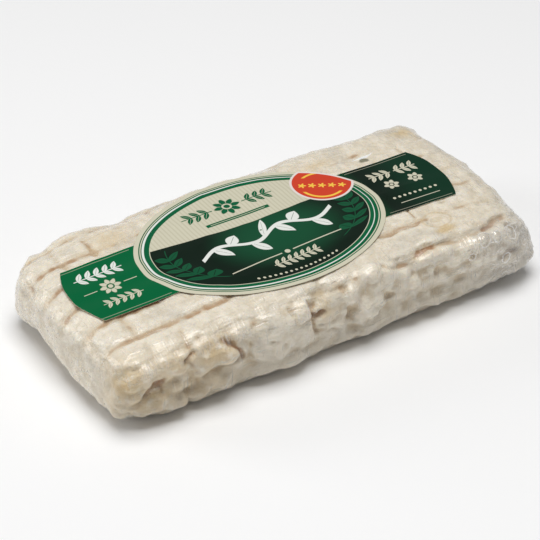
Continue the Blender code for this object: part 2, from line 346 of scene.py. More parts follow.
def knobs(at, normal):
    """Heights of the rind's lumps and of its grain in millimetres, finer on top, bolder on the sides."""
    side = smooth_step(1.4 - 1.6 * abs(normal.z))
    near = smooth_step(-2 * normal.y)
    bent = at + 1.2 * noise.noise_vector(at / 5)
    calm = near * bell((at.x - CALM_MIDDLE) / CALM_HALF)
    left = smooth_step(-2 * normal.x)
    low = near * smooth_step((14 - at.z) / 8)
    bold = side * (1 - 0.85 * calm) * (1 - 0.5 * left)
    bold *= 0.8 + 0.7 * noise.noise(at / 17 + Vector((4, 4, 4)))
    large = noise.noise(bent / LARGE_LUMP) + 0.3 * crumple(bent, LARGE_CREST)
    middle = 0.5 * noise.noise(bent / MIDDLE_LUMP) - (0.35 * side - 0.1) * crumple(bent, MIDDLE_CREST)
    small = 0.5 * noise.noise(bent / SMALL_LUMP) + 0.2 * crumple(at, SMALL_CREST)
    lumps = bold * ((1.3 + 0.8 * low) * large + (1.6 + 0.6 * low) * middle) + (0.5 - 0.2 * side) * middle
    return lumps, (0.2 + 0.12 * bold - 0.1 * calm - 0.1 * left) * small


def rim_at(at, normal):
    """How far the near top edge stands up as a crisp rim."""
    slope = bell((normal.z - 0.72) / 0.2) * smooth_step(-3 * normal.y - 0.4)
    return slope * (0.55 + 0.7 * noise.noise(Vector((at.x / 9, 2.2, 7.1)))) * smooth_step((64 - at.x) / 12)


def rind_at(place, normal):
    """Heights of lumps, cuts and grain at a point of the brick, with how brown and yellow it is."""
    at = place / MM
    x, y, z = at
    deep, browned = mat_marks(x - OFF_CENTRE.x, y - OFF_CENTRE.y, z, normal)
    lumps, grain = knobs(at, normal)
    lumps += rim_at(at, normal)
    wobble = STRAY * noise.noise_vector(at / STRAY_SIZE)
    side = smooth_step(-3 * normal.y - 0.2) * smooth_step((z - 1) / 3)
    if side > 0:
        along = x + SLANT_ALONG * (y - SIDE_PLANE) + wobble.x
        up = z + SLANT_UP * (y - SIDE_PLANE) + wobble.z
        side_deep, side_brown = crease_at(along, up, side_creases)
        deep += 1.5 * side * side_deep * (0.85 + 0.9 * noise.noise(at / 3))
        lumps += side * pads_at(along, up)
        browned = max(browned, side * side_brown)
    pitted = smooth_step((x - PITS_FROM) / 14) * smooth_step(1.5 - 1.5 * normal.z)
    pit = pitted * smooth_step(3.2 * noise.noise(at / PIT_SIZE + Vector((9, 1, 4))) - 0.6)
    deep += PIT_DEEP * pit
    browned = max(browned, 0.6 * pit)
    top = smooth_step(2.5 * normal.z - 1)
    if top > 0:
        top_deep, top_brown = crease_at(x + wobble.x, y + wobble.y, top_creases)
        deep += top * top_deep
        browned = max(browned, top * top_brown)
    grain += 0.08 * noise.noise(Vector((x / 9, y / 0.95, z / 3))) * smooth_step(2.5 * abs(normal.z) - 1)
    yellow = 0.0
    for centre, radii, strength in YELLOW_PATCHES:
        offset = at - Vector(centre)
        away = Vector([offset[k] / radii[k] for k in range(3)]).length
        yellow = max(yellow, strength * bell(away))
    resting = smooth_step((math.hypot(x, y) - 9) / 5) if normal.z < -0.5 else 1.0
    return resting * lumps, -resting * deep, resting * grain, browned, yellow


def divided_copy(node, name, levels):
    """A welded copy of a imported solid, in quads, divided and smoothed."""
    bm = bmesh.new()
    bm.from_mesh(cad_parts[node].data)
    bmesh.ops.remove_doubles(bm, verts=bm.verts, dist=0.01 * MM)
    bmesh.ops.join_triangles(bm, faces=bm.faces, angle_face_threshold=1.3, angle_shape_threshold=1.5)
    coarse = bpy.data.meshes.new(name)
    bm.to_mesh(coarse)
    bm.free()
    piece = bpy.data.objects.new(name, coarse)
    bpy.context.scene.collection.objects.link(piece)
    divide = piece.modifiers.new("divide", "SUBSURF")
    divide.levels = levels
    divide.render_levels = levels
    fine = bpy.data.meshes.new_from_object(piece.evaluated_get(bpy.context.evaluated_depsgraph_get()))
    piece.modifiers.clear()
    piece.data = fine
    fine.name = name
    bpy.data.meshes.remove(coarse)
    fine.shade_smooth()
    return piece


def places_of(mesh):
    """The vertex places of a mesh as rows."""
    flat = np.empty(len(mesh.vertices) * 3)
    mesh.vertices.foreach_get("co", flat)
    return flat.reshape(-1, 3)


def normals_of(mesh):
    """The vertex normals of a mesh as rows."""
    flat = np.empty(len(mesh.vertices) * 3)
    mesh.vertices.foreach_get("normal", flat)
    return flat.reshape(-1, 3)


def move_to(mesh, places):
    """Put the vertices of a mesh at new places."""
    mesh.vertices.foreach_set("co", places.ravel())
    mesh.update()


def neighbour_mean(mesh):
    """A function that gives, for a row of numbers per vertex, the mean over each vertex's neighbours."""
    pairs = np.empty(len(mesh.edges) * 2, np.int64)
    mesh.edges.foreach_get("vertices", pairs)
    here = np.concatenate((pairs[0::2], pairs[1::2]))
    there = np.concatenate((pairs[1::2], pairs[0::2]))
    size = len(mesh.vertices)
    count = np.bincount(here, minlength=size)

    def mean(rows):
        means = [np.bincount(here, rows[there, k], size) / count for k in range(rows.shape[1])]
        return np.stack(means, axis=1)

    return mean


def keep_on_points(mesh, name, values):
    """Store one number per vertex under a name that the material reads."""
    layer = mesh.attributes.new(name, "FLOAT", "POINT")
    layer.data.foreach_set("value", np.asarray(values, np.float32))


class Wire:
    """A socket of a shader node. Sums written with it become Math nodes."""

    def __init__(self, tree, socket):
        self.tree = tree
        self.socket = socket

    def node(self, kind, settings=None, inputs=None, output=0):
        """Add any node: its settings first, then the values or links of its sockets."""
        added = self.tree.nodes.new(kind)
        for key, value in (settings or {}).items():
            setattr(added, key, value)
        for key, value in (inputs or {}).items():
            if isinstance(value, Wire):
                self.tree.links.new(value.socket, added.inputs[key])
            else:
                added.inputs[key].default_value = value
        return Wire(self.tree, added.outputs[output])

    def math(self, operation, *others):
        """A Math node that takes this wire first."""
        return self.node("ShaderNodeMath", {"operation": operation}, dict(enumerate((self, *others))))

    def __add__(self, other):
        return self.math("ADD", other)

    __radd__ = __add__

    def __sub__(self, other):
        return self.math("SUBTRACT", other)

    def __rsub__(self, other):
        return self.node("ShaderNodeMath", {"operation": "SUBTRACT"}, {0: other, 1: self})

    def __mul__(self, other):
        return self.math("MULTIPLY", other)

    __rmul__ = __mul__

    def __truediv__(self, other):
        return self.math("DIVIDE", other)

    def __rtruediv__(self, other):
        return self.node("ShaderNodeMath", {"operation": "DIVIDE"}, {0: other, 1: self})

    def __abs__(self):
        return self.math("ABSOLUTE")

    def __and__(self, other):
        return self.math("MINIMUM", other)

    def __or__(self, other):
        return self.math("MAXIMUM", other)

    def root(self):
        return self.math("SQRT")

    def rise(self, low, high):
        """0 below low, 1 above high, with a soft change between. High may be the smaller one."""
        return self.node(
            "ShaderNodeMapRange",
            {"interpolation_type": "SMOOTHSTEP"},
            {0: self, 1: low, 2: high, 3: 0.0, 4: 1.0},
        )

    def over(self, under, upper):
        """One colour laid over another where this wire is 1."""
        return self.node("ShaderNodeMix", {"data_type": "RGBA"}, {0: self, 6: under, 7: upper}, 2)

    def parts(self):
        """The three numbers of a vector."""
        split = self.tree.nodes.new("ShaderNodeSeparateXYZ")
        self.tree.links.new(self.socket, split.inputs[0])
        return [Wire(self.tree, output) for output in split.outputs]

    def scaled(self, x, y, z):
        """A vector with its three numbers multiplied."""
        return self.node("ShaderNodeVectorMath", {"operation": "MULTIPLY"}, {0: self, 1: (x, y, z)})

    def grain(self, size, detail=2.0, roughness=0.5):
        """Noise from 0 to 1 whose lumps are about so many units of this vector across."""
        inputs = {"Vector": self, "Scale": 1 / size, "Detail": detail, "Roughness": roughness}
        return self.node("ShaderNodeTexNoise", {"noise_dimensions": "3D"}, inputs)

    def bump(self, distance, strength=1.0):
        """A normal for this height, where 1 stands for so many metres."""
        return self.node("ShaderNodeBump", None, {"Strength": strength, "Distance": distance, "Height": self})


def new_finish(name):
    """An empty material with a wire that gives a point's place in millimetres."""
    material = bpy.data.materials.new(name)
    material.use_nodes = True
    tree = material.node_tree
    tree.nodes.clear()
    place = Wire(tree, tree.nodes.new("ShaderNodeTexCoord").outputs["Object"])
    return material, place.scaled(1000.0, 1000.0, 1000.0)


def show(wire):
    """Make a shader the one that the material shows."""
    output = wire.tree.nodes.new("ShaderNodeOutputMaterial")
    wire.tree.links.new(wire.socket, output.inputs["Surface"])


def tone(red, green, blue):
    """A colour as seen on a screen, from 0 to 255, as light."""
    seen = (red / 255, green / 255, blue / 255)
    light = [share / 12.92 if share <= 0.04045 else ((share + 0.055) / 1.055) ** 2.4 for share in seen]
    return (*light, 1.0)


def bell_ring(away, radius, half):
    """A soft ring round a centre: 1 on the radius, 0 past half its width."""
    return abs(away - radius).rise(half, 0.0)


def oval_away(along, across, centre, long, short):
    """How far out a point lies from an oval's centre: 1 on its outline."""
    off_x = along - centre[0]
    off_y = across - centre[1]
    return (off_x * off_x / long ** 2 + off_y * off_y / short ** 2).root()


noise.seed_set(NOISE_SEED)
side_creases = with_reach(SIDE_CREASES)
top_creases = with_reach(TOP_CREASES)
brick = divided_copy("cheese", "cheese_brick", RIND_LEVELS)
rind_places = places_of(brick.data)
rind_normals = normals_of(brick.data)
brick_mean = neighbour_mean(brick.data)
traits = np.array([
    rind_at(Vector(place), Vector(normal)) for place, normal in zip(rind_places, rind_normals)
])
lumps, cuts, grain, browning, yellowing = np.split(traits, 5, axis=1)
for _ in range(LUMP_ROUNDS):
    lumps = brick_mean(lumps)
for _ in range(CUT_ROUNDS):
    cuts = 0.5 * cuts + 0.5 * brick_mean(cuts)
rind_places = rind_places + rind_normals * (lumps + cuts + grain) * MM
rind_places[:, 2] = np.maximum(rind_places[:, 2], 0.0)
move_to(brick.data, rind_places)
settled = rind_places
for _ in range(NEAR_ROUNDS):
    settled = brick_mean(settled)
near_hollow = ((settled - rind_places) * rind_normals).sum(axis=1) / MM
for _ in range(WIDE_ROUNDS):
    settled = brick_mean(settled)
wide_hollow = ((settled - rind_places) * rind_normals).sum(axis=1) / MM
keep_on_points(brick.data, "browning", browning[:, 0])
keep_on_points(brick.data, "yellowing", yellowing[:, 0])
keep_on_points(brick.data, "near_hollow", near_hollow)
keep_on_points(brick.data, "wide_hollow", wide_hollow)

RIND = tone(222, 211, 190)
# The bloom's white, which is also laid on as painted highlight.
BLOOM_AND_HIGHLIGHT = tone(240, 232, 216)
RIND_TAN = tone(206, 185, 151)
RIND_BROWN = tone(170, 127, 90)
RIND_YELLOW = tone(212, 187, 141)
RIND_GREY = tone(196, 190, 178)
# The tone of the painted shade low on the sides.
RIND_PAINTED_SHADE = tone(150, 139, 120)
SPECK = tone(128, 106, 80)
MOULD = tone(112, 110, 82)
MOULD_HAIR = tone(246, 246, 244)
TOP_RISES = (15.0, 18.0)    # mm up, between which a mark of the top face begins
MOULD_SPOT = (44.0, 16.0)
HAIR_TIP = (44.8, 17.7)
WET_BLISTER = (43.6, -23.2)
WET_POOL = (43.4, -28.4)

rind_finish, at = new_finish("bloomy_rind")
brown = at.node("ShaderNodeAttribute", {"attribute_name": "browning"}, output=2)
yellow = at.node("ShaderNodeAttribute", {"attribute_name": "yellowing"}, output=2)
hollow = at.node("ShaderNodeAttribute", {"attribute_name": "near_hollow"}, output=2)
wide = at.node("ShaderNodeAttribute", {"attribute_name": "wide_hollow"}, output=2)
blotch = at.grain(11.0, 2.0)
mottle = at.grain(3.2, 3.0, 0.6)
fuzz = at.grain(1.1, 2.0, 0.6)
threads = at.scaled(0.12, 1.0, 1.0).grain(1.3, 2.0, 0.6)
color = (mottle.rise(0.35, 0.7) * 0.8).over(RIND, BLOOM_AND_HIGHLIGHT)
color = (blotch.rise(0.5, 0.75) * 0.5).over(color, RIND_GREY)
# Paler on the ridge tops, where the rind bulges: painted highlight.
color = (hollow.rise(-0.05, -0.3) * 0.6).over(color, BLOOM_AND_HIGHLIGHT)
# Tan in the narrow and wide hollows: partly the rind's own browning there, partly painted shade.
color = (wide.rise(0.1, 0.9) * 0.45).over(color, RIND_TAN)
color = (hollow.rise(0.06, 0.45) * 0.5).over(color, RIND_TAN)
color = (yellow * mottle.rise(0.28, 0.55)).over(color, RIND_YELLOW)
color = (brown * (0.2 + mottle * 1.0)).rise(0.12, 0.95).over(color, RIND_TAN)
color = (brown * (0.3 + blotch) * hollow.rise(-0.15, 0.3)).rise(0.25, 0.95).over(color, RIND_BROWN)
color = ((threads.rise(0.55, 0.8) + fuzz.rise(0.55, 0.8)) * 0.22).over(color, BLOOM_AND_HIGHLIGHT)
color = (at.grain(1.6, 1.0).rise(0.74, 0.8) * 0.25).over(color, SPECK)
along, across, up = at.parts()
# Painted shade: darker towards the foot of both long sides, and low on the right end.
painted_low_shade = up.rise(17.0, 6.0) * abs(across).rise(26.0, 34.0) | along.rise(54.0, 68.0) * up.rise(24.0, 16.0)
color = (painted_low_shade * 0.36).over(color, RIND_PAINTED_SHADE)
top_side = up.rise(*TOP_RISES)
spot = (oval_away(along, across, MOULD_SPOT, 2.1, 1.38) + mottle * 0.8).rise(1.5, 1.0)
color = (spot * top_side * 0.85).over(color, MOULD)
bow = along - HAIR_TIP[0] + 1.0
hair = abs(across - HAIR_TIP[1] - bow * bow * 0.05) + abs(along - HAIR_TIP[0]) * 0.14
color = (hair.rise(0.8, 0.55) * top_side).over(color, MOULD_HAIR)
blister = oval_away(along, across, WET_BLISTER, 5.0, 4.0)
pool = oval_away(along, across, WET_POOL, 4.12, 1.61)
wet = (blister.rise(1.25, 0.2) * 0.35 + bell_ring(blister, 0.95, 0.14) * 0.5 + pool.rise(1.3, 0.4)) & 1.0
wet = wet * top_side
color = (wet * 0.8).over(color, RIND_YELLOW)
# A paler ring inside the wet blister: painted highlight.
color = (bell_ring(blister, 0.5, 0.16) * top_side * 0.5).over(color, BLOOM_AND_HIGHLIGHT)
relief = fuzz * 0.35 + at.grain(2.6, 3.0, 0.5) + threads * 0.5
normal = relief.bump(0.85 * MM, 1.0)
rind_shader = at.node(
    "ShaderNodeBsdfPrincipled",
    None,
    {
        "Base Color": color,
        "Roughness": 0.62 - wet * 0.35,
        "Normal": normal,
        "Specular IOR Level": 0.35,
        "Subsurface Weight": 0.3,
        "Subsurface Radius": (1.0, 0.8, 0.55),
        "Subsurface Scale": 1.6 * MM,
    },
)
show(rind_shader)
brick.data.materials.append(rind_finish)
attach(brick, "root")
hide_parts("cheese")

# The film: clear cling film drawn tight round the whole cheese, with its seam and folded flaps underneath.
# It bridges the hollows of the rind, and pulls into fine wrinkles over the edges and into crumples at the
# right end, where it has trapped a few bubbles of air.
FILM_GAP = 0.08 * MM
FILM_ROUNDS = 26
EDGE_WRINKLE = 0.22      # mm, of the wrinkles that cross the long edges
FLAT_WRINKLE = 0.12      # mm, of those along the flat faces
CORNER_CRUMPLE = 0.4     # mm, of the crumples at the right end
SEAM_ACROSS = -3.0       # mm, of the seam underneath from the brick's middle
SEAM_HALF_LENGTH = 66.0
FLAP_REACH = 84.0        # mm, of the flaps' slanting folds from the brick's middle, both ways summed
# Bubbles of air: centres and radii in millimetres.
BUBBLES = (
    ((52.8, -35.2, 22.8), 2.3),
    ((57.6, -35, 22.2), 1.7),
    ((63.5, -33.5, 20.5), 2.4),
    ((69.5, -29, 18), 2.2),
    ((61, -35.5, 13.5), 1.8),
    ((66.5, -32.5, 11.5), 2.0),
    ((48, -35.6, 19), 1.4),
    ((72.5, -22, 20), 2.0),
)

film = bpy.data.objects.new("cling_film", brick.data.copy())
bpy.context.scene.collection.objects.link(film)
film.data.name = "cling_film"
film.data.materials.clear()
for name in ("browning", "yellowing", "near_hollow", "wide_hollow"):
    film.data.attributes.remove(film.data.attributes[name])
skin = rind_places + rind_normals * FILM_GAP
for _ in range(FILM_ROUNDS):
    pulled = 0.5 * skin + 0.5 * brick_mean(skin)
    lift = ((pulled - rind_places) * rind_normals).sum(axis=1)
    skin = rind_places + rind_normals * np.maximum(lift, FILM_GAP)[:, None]


def wrinkle_at(place, normal):
    """How far the film stands off because of its own wrinkles, in millimetres."""
    x, y, z = place / MM
    edge = smooth_step(1 - abs(normal.z)) * smooth_step(1.6 * abs(normal.z))
    across_edge = 1 - abs(noise.noise(Vector((x / 1.5, y / 9, z / 9))))
    along_brick = 1 - abs(noise.noise(Vector((x / 24, y / 1.7, z / 1.7))))
    crumpled = 1 - abs(noise.noise(Vector((x, y, z)) / 3.1 + Vector((5, 3, 8))))
    corner = smooth_step((x - 44) / 14) * smooth_step(1.2 - normal.z) * smooth_step((-y - 10) / 15)
    patchy = smooth_step(0.5 + 1.4 * noise.noise(Vector((x / 15, y / 12, 9.4))))
    return (
        EDGE_WRINKLE * edge * patchy * across_edge ** 9
        + FLAT_WRINKLE * (1 - edge) * along_brick ** 12
        + CORNER_CRUMPLE * corner * crumpled ** 10
    )


standing = np.array([wrinkle_at(Vector(place), Vector(normal)) for place, normal in zip(skin, rind_normals)])
skin = skin + rind_normals * standing[:, None] * MM
skin[:, 2] = np.maximum(skin[:, 2], 0.0)
move_to(film.data, skin)


def shaken(at, size, far):
    """A place strayed up to about so far either way, from one lump of noise to the next."""
    inputs = {"Vector": at, "Scale": 1 / size, "Detail": 1.0}
    stray = at.node("ShaderNodeTexNoise", {"noise_dimensions": "3D"}, inputs, "Color")
    stray = at.node("ShaderNodeVectorMath", {"operation": "SUBTRACT"}, {0: stray, 1: (0.5, 0.5, 0.5)})
    return at.node("ShaderNodeVectorMath", {"operation": "ADD"}, {0: at, 1: stray.scaled(far, far, far)})


film_finish, at = new_finish("clear_cling_film")
along, across, up = at.parts()
streaks = at.scaled(0.04, 1.0, 1.0).grain(1.2, 1.0, 0.5)
pulls = at.scaled(1.0, 0.1, 0.1).grain(0.8, 1.0, 0.5)
patchy = at.grain(9.0, 1.0)
net = at.node(
    "ShaderNodeTexVoronoi",
    {"feature": "DISTANCE_TO_EDGE"},
    {"Vector": shaken(at, 2.2, 4.0), "Scale": 0.27, "Randomness": 1.0},
)
corner = along.rise(42.0, 62.0) * (up + across * 0.5).rise(14.0, 6.0)
crumples = net.rise(0.06, 0.0) * at.grain(3.0, 1.0).rise(0.5, 0.62) * 0.6
long_folds = bell_ring(at.scaled(0.35, 1.0, 1.0).grain(4.2, 1.0), 0.5, 0.016)
folds = bell_ring(at.grain(6.5, 1.0), 0.5, 0.016) | long_folds
crumples = (crumples | folds) * corner * patchy.rise(0.35, 0.5)
uneven = shaken(at, 2.2, 1.2)
rings = 0.0
domes = 0.0
for centre, radius in BUBBLES:
    off = at.node("ShaderNodeVectorMath", {"operation": "DISTANCE"}, {0: uneven, 1: centre}, "Value")
    rings = bell_ring(off, radius, 0.32) | rings
    domes = off.rise(radius, 0.3 * radius) + domes
# Along the wrinkle lines, and the crumples and bubble rings joined to them below, the film turns partly white
# and diffuse: painted highlights for their glints. The seam and flaps underneath are drawn into the same
# lines.
lines = streaks.rise(0.6, 0.72) * patchy.rise(0.4, 0.6)
lines = lines | pulls.rise(0.6, 0.72) * patchy.rise(0.55, 0.4) * 0.7
near_edge = up.rise(19.0, 22.0) * across.rise(-29.0, -32.5) * up.rise(28.5, 26.0)
lines = lines | near_edge * pulls.rise(0.5, 0.64) * at.grain(8.0, 1.0).rise(0.5, 0.62)
far_left = along.rise(-30.0, -42.0) * across.rise(6.0, 16.0)
lines = lines | far_left * streaks.rise(0.5, 0.62) * 0.8
bends = lines * 0.12 + streaks * 0.5 + pulls * 0.25 + crumples * 0.12
bends = bends + corner * at.grain(3.4, 1.0) * 2.4 + domes * 2.2
seam = bell_ring(across, SEAM_ACROSS, 0.5) * bell_ring(along, 0.0, SEAM_HALF_LENGTH).rise(0.1, 0.2)
flaps = bell_ring(abs(across) + abs(along), FLAP_REACH, 0.5) * abs(along).rise(46.0, 50.0)
closing = (seam | flaps) * up.rise(1.5, 0.8)
lines = lines | crumples | rings * 0.8 | closing
normal = bends.bump(0.42 * MM, 1.0)
clear = at.node("ShaderNodeBsdfTransparent", None, {"Color": (1.0, 1.0, 1.0, 1.0)})
gloss = at.node(
    "ShaderNodeBsdfPrincipled",
    None,
    {
        "Base Color": (0.98, 0.96, 0.92, 1.0),
        "Metallic": 1.0 - (lines | corner * 0.7),
        "Roughness": 0.26 - corner * 0.07 + lines * 0.08,
        "Normal": normal,
    },
)
aslant = at.node("ShaderNodeLayerWeight", None, {"Blend": 0.5}, "Facing")
# The share of white film rises along the lines and bubble rings: painted highlights.
share = 0.04 + 0.85 * aslant.math("POWER", 5.0) + lines * 0.2 + corner * 0.24
share = (share + crumples * 0.2 + rings * 0.42 + domes * 0.05 + closing * 0.35) & 0.9
show(at.node("ShaderNodeMixShader", None, {0: share, 1: clear, 2: gloss}))
film.data.materials.append(film_finish)
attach(film, "root")
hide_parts("cheese")

# The label: one sheet of satin paper, die-cut to an oval with a tab at each end, printed in greens and
# cream and stuck on top of the film. It bridges the furrows under it and its right tab has buckled.
LABEL_CENTRE = Vector((-5.2, -0.3))
LABEL_TURN = math.radians(-1.05)
OVAL_LONG = 40.8
OVAL_SHORT = 29.5
TAB_HALF = 13.8
TAB_LEFT = -61.1
TAB_RIGHT = 62.2
TAB_BULGE = 3.6
LABEL_COLUMNS = (6, 26, 6)
COLUMN_CELLS = 5
ROW_CELLS = 90
PAPER = 0.12 * MM
PASTE = 0.05 * MM
SAG_ROUNDS = 110         # the more, the wider the hollows that the paper bridges
BUCKLE_HIGH = 0.5        # mm, of the waves in the right tab
BUCKLE_WAVE = 7.5        # mm along the tab, for each radian of a wave
BUCKLE_ROUNDS = 12


def label_point(column, row):
    """Where a column and a row, each from -1 to 1, lie on the die-cut shape, in millimetres."""
    joint = OVAL_LONG * math.sqrt(1 - (TAB_HALF / OVAL_SHORT) ** 2)
    stops = (TAB_LEFT, -joint, joint, TAB_RIGHT)
    count = (column + 1) / 2 * sum(LABEL_COLUMNS)
    band = 0
    while band < 2 and count > LABEL_COLUMNS[band]:
        count -= LABEL_COLUMNS[band]
        band += 1
    u = stops[band] + (stops[band + 1] - stops[band]) * count / LABEL_COLUMNS[band]
    half = max(TAB_HALF, OVAL_SHORT * math.sqrt(max(1 - (u / OVAL_LONG) ** 2, 0.0)))
    end_u = TAB_RIGHT if u > 0 else TAB_LEFT
    towards_end = smooth_step((abs(u) - joint) / (abs(end_u) - joint))
    u += math.copysign(TAB_BULGE * (1 - row * row) * towards_end, u)
    v = row * half
    x = LABEL_CENTRE.x + u * math.cos(LABEL_TURN) - v * math.sin(LABEL_TURN)
    y = LABEL_CENTRE.y + u * math.sin(LABEL_TURN) + v * math.cos(LABEL_TURN)
    return x, y


bm = bmesh.new()
bmesh.ops.create_grid(bm, x_segments=sum(LABEL_COLUMNS) * COLUMN_CELLS, y_segments=ROW_CELLS, size=1.0)
for vert in bm.verts:
    x, y = label_point(vert.co.x, vert.co.y)
    vert.co = Vector((x, y, 0)) * MM
sheet = bpy.data.meshes.new("paper_label")
bm.to_mesh(sheet)
film_tree = BVHTree.FromPolygons(
    [vert.co for vert in film.data.vertices], [face.vertices for face in film.data.polygons]
)
spots = places_of(sheet)
below = np.empty(len(spots))
for index, spot in enumerate(spots):
    hit = film_tree.ray_cast(Vector((spot[0], spot[1], 1.0)), Vector((0, 0, -1)))
    below[index] = hit[0].z + PASTE
sheet_mean = neighbour_mean(sheet)
sag = below[:, None].copy()
for _ in range(SAG_ROUNDS):
    sag = np.maximum(sheet_mean(sag), below[:, None])
buckle = np.array([
    BUCKLE_HIGH * smooth_step((x - 38) / 12) * math.cos((x - 58) / BUCKLE_WAVE) * smooth_step((y + 2) / 12)
    for x, y in spots[:, :2] / MM
])
rest = sag[:, 0] + np.maximum(buckle, 0) * MM
for _ in range(BUCKLE_ROUNDS):
    rest = np.maximum(sheet_mean(rest[:, None])[:, 0], below)
bpy.data.meshes.remove(sheet)
bm.verts.ensure_lookup_table()
for index, vert in enumerate(bm.verts):
    vert.co.z = rest[index]
upper = bmesh.ops.extrude_face_region(bm, geom=bm.faces[:])
raised = [item for item in upper["geom"] if isinstance(item, bmesh.types.BMVert)]
bmesh.ops.translate(bm, verts=raised, vec=(0, 0, PAPER))
bmesh.ops.recalc_face_normals(bm, faces=bm.faces)
paper = bpy.data.meshes.new("paper_label")
bm.to_mesh(paper)
bm.free()
paper.shade_smooth()
paper.set_sharp_from_angle(angle=math.radians(50))
label = bpy.data.objects.new("paper_label", paper)
bpy.context.scene.collection.objects.link(label)

CREAM = tone(206, 202, 180)
PINSTRIPE = tone(186, 181, 156)
WHITE = tone(226, 228, 222)
TAB_GREEN = tone(0, 97, 55)
RING_GREEN = tone(4, 92, 56)
FIELD_GREEN = tone(20, 76, 49)
FIELD_DARK = tone(14, 31, 21)
RIGHT_TAB = tone(12, 50, 33)
LEAF_GREEN = tone(20, 90, 58)
FLASH_RED = tone(204, 66, 42)
FLASH_YELLOW = tone(242, 196, 78)
FLASH_EDGE = tone(226, 216, 211)
PAPER_CORE = tone(214, 208, 194)
HAIRLINE = 0.06          # mm, over which a printed edge softens
# Distances of the rings' steps from the cut edge, in millimetres.
BORDER = 1.45
HAIRLINE_RING = 1.8
GREEN_RING = 2.15
FIELDS = 4.75
WHITE_RING = 3.1
SPLIT_HIGH = 5.2         # mm, of the line between the two fields above the label's middle
SPLIT_BOW = 0.0027
FLASH_CENTRE = (29.8, 12.5)
FLASH_TURN = -28
FLASH_OUTER = 10.0
FLASH_INNER = 9.25
STAR_PITCH = 3.1


def within(value, half, soft=HAIRLINE):
    """1 where a wire lies within half of zero."""
    return abs(value).rise(half + soft, half - soft)


def under(value, limit, soft=HAIRLINE):
    """1 where a wire is smaller than the limit."""
    return value.rise(limit + soft, limit - soft)


def turned(u, v, centre, degrees):
    """Coordinates about a centre, turned."""
    cos, sin = math.cos(math.radians(degrees)), math.sin(math.radians(degrees))
    return (
        (u - centre[0]) * cos + (v - centre[1]) * sin,
        (v - centre[1]) * cos - (u - centre[0]) * sin,
    )


def from_centre(p, q):
    """Distance from the centre of two coordinates."""
    return (p * p + q * q).root()


def nearest_stop(value, pitch):
    """The number of the nearest of stops that lie a pitch apart."""
    return (value / pitch).math("ROUND")


def off_stop(value, pitch):
    """Distance to the nearest of stops that lie a pitch apart, with its sign."""
    return value - nearest_stop(value, pitch) * pitch


def inside_oval(u, v, long, short):
    """Distance to an oval's outline in millimetres, below zero inside it."""
    reach = (u * u / long ** 2 + v * v / short ** 2).root()
    slope = (u * u / long ** 4 + v * v / short ** 4).root()
    return reach * (reach - 1.0) / (slope | 0.002)


def leaf(p, q, long, short):
    """A pointed leaf lying along p, with a bare midrib."""
    blade = abs(q) / short + p * p / long ** 2
    return under(blade, 1.0, 0.06) * (1.0 - within(q, 0.05, 0.05) * under(abs(p), 0.7 * long))


def leafy_stem(p, q, pitch, size, lean, half, stem):
    """A stem along p with a leaf to each side in turn, from -half to half."""
    step = nearest_stop(p, pitch)
    flip = (step * math.pi).math("COSINE")
    local_p, local_q = turned(p - step * pitch, q * flip, (0.0, 0.75 * size), lean)
    leaves = leaf(local_p, local_q, size, 0.42 * size) * under(abs(step), half / pitch - 0.5)
    return leaves | within(q, stem) * under(abs(p), half)


def laurel(p, q, pitch, size, lean, half, stem):
    """A stem along p with leaves in pairs, from -half to half."""
    step = nearest_stop(p, pitch)
    local_p, local_q = turned(p - step * pitch, abs(q), (0.1 * size, 0.7 * size), lean)
    leaves = leaf(local_p, local_q, size, 0.42 * size) * under(abs(step), half / pitch - 0.5)
    return leaves | within(q, stem) * under(abs(p), half)


def rosette(p, q, radius, petals):
    """A flower of round petals about an open eye."""
    away = from_centre(p, q)
    angle = q.math("ARCTAN2", p) * petals
    flower = under(away / radius - angle.math("COSINE") * 0.16, 0.84, 0.05)
    ribs = (angle + math.pi).math("COSINE")
    split = ribs.rise(0.93, 0.99) * away.rise(0.3 * radius, 0.5 * radius)
    return flower * (1.0 - within(away - 0.3 * radius, 0.07 * radius)) * (1.0 - split)


label_finish, at = new_finish("printed_label_paper")
print_at = at.node(
    "ShaderNodeMapping",
    {"vector_type": "TEXTURE"},
    {"Vector": at, "Location": (LABEL_CENTRE.x, LABEL_CENTRE.y, 0.0), "Rotation": (0.0, 0.0, LABEL_TURN)},
)
u, v, _ = print_at.parts()
edge = inside_oval(u, v, OVAL_LONG, OVAL_SHORT)

# Tabs: green, with a hairline along both cuts and cream ornaments.
color = u.rise(30.0, 42.0).over(TAB_GREEN, FIELD_DARK)
color = u.rise(42.0, 58.0).over(color, RIGHT_TAB)
color = (within(abs(v) - 12.75, 0.1) * within(abs(u) - 50.0, 11.6) * 0.55).over(color, CREAM)
p, q = turned(u, v, (-52.0, 7.4), 0)
color = laurel(p, q, 2.9, 2.0, 55, 8.0, 0.2).over(color, WHITE)
p, q = turned(u, v, (-51.8, -0.2), 0)
color = rosette(p, q, 3.4, 8).over(color, CREAM)
color = (within(q, 0.14) * within(abs(p) - 6.6, 2.2)).over(color, CREAM)
p, q = turned(u, v, (-51.4, -7.4), 180)
color = laurel(p, q, 2.4, 1.5, 55, 6.6, 0.15).over(color, CREAM)
p, q = turned(u, v, (52.0, 6.6), 0)
color = laurel(abs(p) - 4.6, q, 2.5, 1.7, 55, 4.0, 0.18).over(color, CREAM)
p, q = turned(u, v, (52.4, 0.4), 0)
color = rosette(abs(p) - 4.4, q - 0.2, 2.6, 6).over(color, CREAM)
p, q = turned(u, v, (52.0, -6.4), 0)
dots = from_centre(off_stop(p, 1.9), q)
color = (under(dots, 0.5) * within(p, 8.4)).over(color, CREAM)
color = (within(q + 3.1, 0.15) * within(p, 7.2)).over(color, CREAM)

